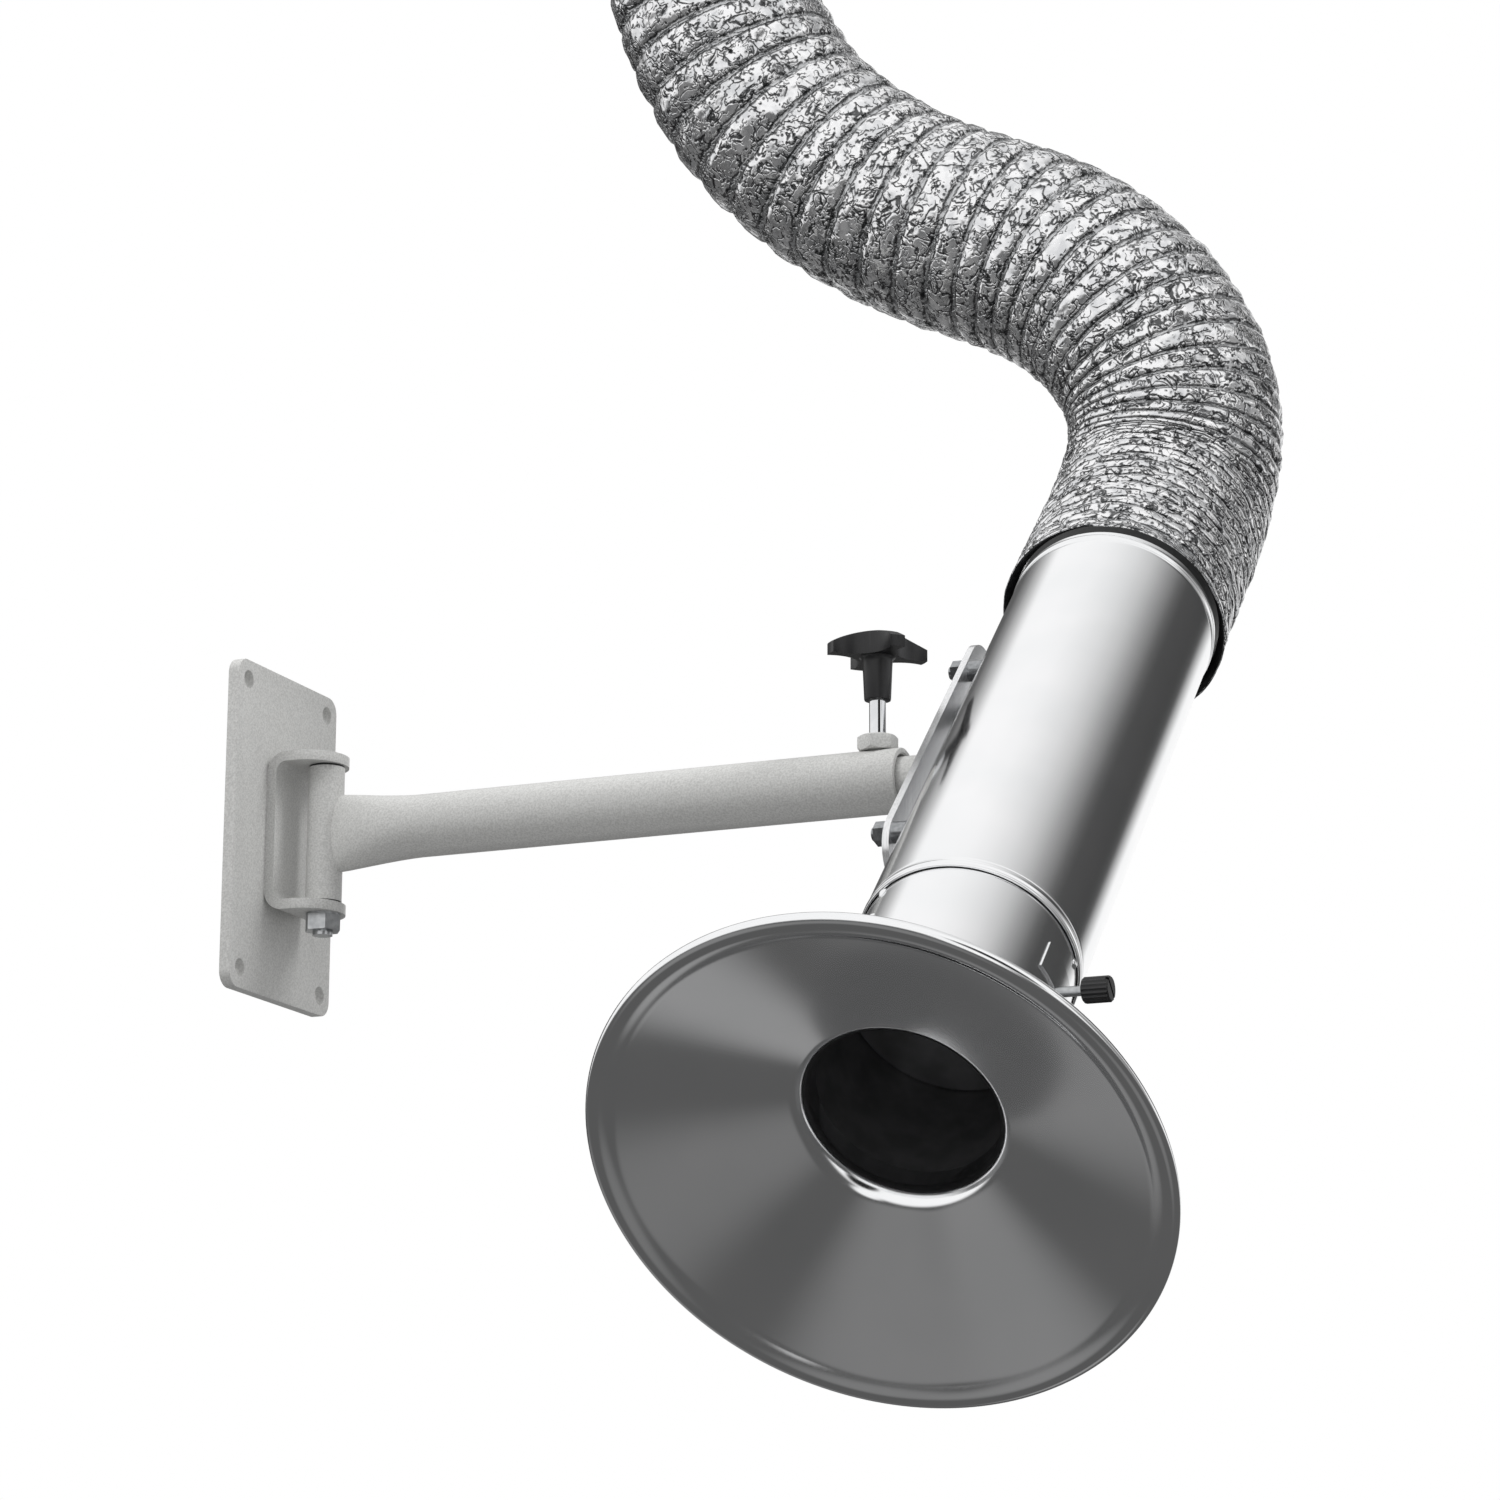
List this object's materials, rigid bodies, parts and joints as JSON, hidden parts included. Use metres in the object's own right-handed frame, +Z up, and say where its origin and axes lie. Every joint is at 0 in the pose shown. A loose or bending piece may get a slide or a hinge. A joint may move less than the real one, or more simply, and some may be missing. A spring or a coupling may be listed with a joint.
{
  "type": "fume extraction arm",
  "caption": "Wall-mounted extraction arm: hinged tube arm with a clamp knob carries a tilting duct pipe with damper, cone hood and ribbed foil hose.",
  "frame": {"origin": "middle of the wall plate's back face, on the wall", "axes": "+Z up, +X out from the wall along the arm, the hood faces down and towards -Y"},
  "size_m": [0.5365, 0.5454, 1.0258],
  "materials": {
    "powder_coat": "light warm grey powder coat",
    "zinc_steel": "zinc plated",
    "black_plastic": "black moulded plastic",
    "natural_plastic": "natural plastic",
    "brass": "turned",
    "chrome_rod": "bright",
    "polished_steel": "mirror polished stainless steel",
    "hose_foil": "wrinkled aluminium foil laminate on a wire spiral",
    "galvanised_sheet": "galvanised"
  },
  "bodies": {
    "wall": {"wall_plate": "powder_coat", "hinge_bracket": "powder_coat", "hinge_bolt": "zinc_steel", "hinge_nut": "zinc_steel", "hinge_washers": "zinc_steel"},
    "arm": {"hinge_barrel": "powder_coat", "hinge_bushes": "black_plastic", "arm_tube": "powder_coat", "clamp_nut": "powder_coat", "guide_sleeve": "natural_plastic"},
    "tip": {"clamp_tip": "brass"},
    "clamp": {"clamp_screw": "chrome_rod", "clamp_grip": "black_plastic"},
    "duct": {"duct_spindle": "powder_coat", "support_plate": "polished_steel", "plate_bolts": "zinc_steel", "plate_nuts": "zinc_steel", "plate_spacers": "zinc_steel", "duct_pipe": "polished_steel", "hood_sleeve": "polished_steel", "hood_rivets": "zinc_steel", "hood": "polished_steel", "damper_bearing": "polished_steel", "hose": "hose_foil", "outlet_collar": "galvanised_sheet", "outlet_flange": "galvanised_sheet"},
    "damper": {"damper_shaft": "zinc_steel", "damper_blade": "polished_steel", "damper_screws": "zinc_steel", "damper_knob": "black_plastic"}
  },
  "joints": [
    {"name": "arm_swing", "type": "hinge", "parent": "wall", "child": "arm", "pos_m": [0.029, 0, 0], "axis": [0, 0, 1], "range_deg": [-45, 45]},
    {"name": "duct_tilt", "type": "hinge", "parent": "arm", "child": "duct", "pos_m": [0.338, 0, 0], "axis": [1, 0, 0], "range_deg": [-60, 60]},
    {"name": "clamp_turn", "type": "hinge", "parent": "tip", "child": "clamp", "pos_m": [0.3244, 0, 0.04], "axis": [0, 0, 1], "range_deg": [0, 720]},
    {"name": "clamp_lift", "type": "slide", "parent": "arm", "child": "tip", "axis": [0, 0, 1], "range_m": [0, 0.0025]},
    {"name": "damper_turn", "type": "hinge", "parent": "duct", "child": "damper", "pos_m": [0.411, -0.13315, -0.13315], "axis": [1, 0, 0], "range_deg": [0, 90]}
  ],
  "couplings": [
    {"joint": "clamp_turn", "follows": "clamp_lift", "rad_per_m": 5026.5}
  ]
}
